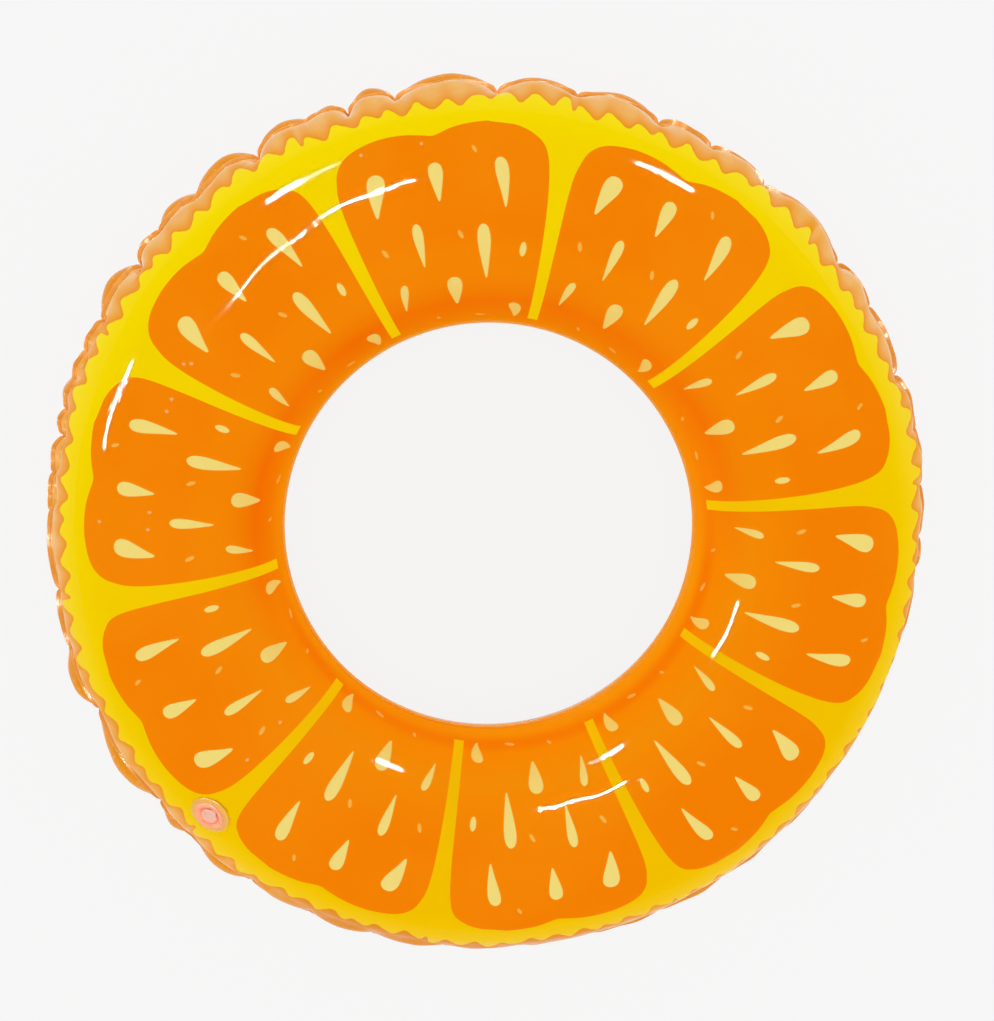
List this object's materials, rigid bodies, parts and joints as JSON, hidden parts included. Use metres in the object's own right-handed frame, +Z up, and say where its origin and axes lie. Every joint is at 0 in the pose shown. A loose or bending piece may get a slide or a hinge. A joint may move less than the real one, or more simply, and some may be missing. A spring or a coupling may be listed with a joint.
{
  "type": "inflatable swim ring",
  "caption": "Blown-up ring of two welded PVC films with a puckered outer seam, an orange-slice print and a push-in air valve with plug, strap and check flap.",
  "frame": {"origin": "centre of the hole, on the floor that the ring lies on", "axes": "+Z up through the hole, -Y towards the valve, +X to the right of someone who faces the valve"},
  "size_m": [0.6962, 0.6962, 0.169],
  "materials": {
    "printed_film": "clear glossy PVC film printed with orange segments and pale droplets between yellow dividers, a scalloped peel edge and a peach margin",
    "back_film": "glossy PVC film in plain orange with small golden flecks",
    "weld": "fused PVC rim, pale peach, finely ribbed by the weld",
    "valve_vinyl": "moulded soft PVC, translucent salmon pink"
  },
  "bodies": {
    "ring": {"upper_film": "printed_film", "lower_film": "back_film", "inner_weld_seam": "weld", "outer_weld_seam": "weld", "valve_base": "valve_vinyl", "valve_web": "valve_vinyl"},
    "stem": {"valve_stem": "valve_vinyl", "plug_strap": "valve_vinyl"},
    "plug": {"valve_plug": "valve_vinyl"},
    "flap": {"check_flap": "valve_vinyl"}
  },
  "joints": [
    {"name": "stem_slide", "type": "slide", "parent": "ring", "child": "stem", "axis": [0, -0.5228, 0.8525], "range_m": [0, 0.018], "deforming": ["valve_web"]},
    {"name": "plug_pull", "type": "slide", "parent": "stem", "child": "plug", "axis": [0, -0.5228, 0.8525], "range_m": [0, 0.0085], "deforming": ["plug_strap"]},
    {"name": "flap_hinge", "type": "hinge", "parent": "stem", "child": "flap", "pos_m": [0, -0.29252, 0.14594], "axis": [1, 0, 0], "range_deg": [0, 60], "stiffness_Nm_per_rad": 0.00002, "springref_deg": -17.19}
  ]
}
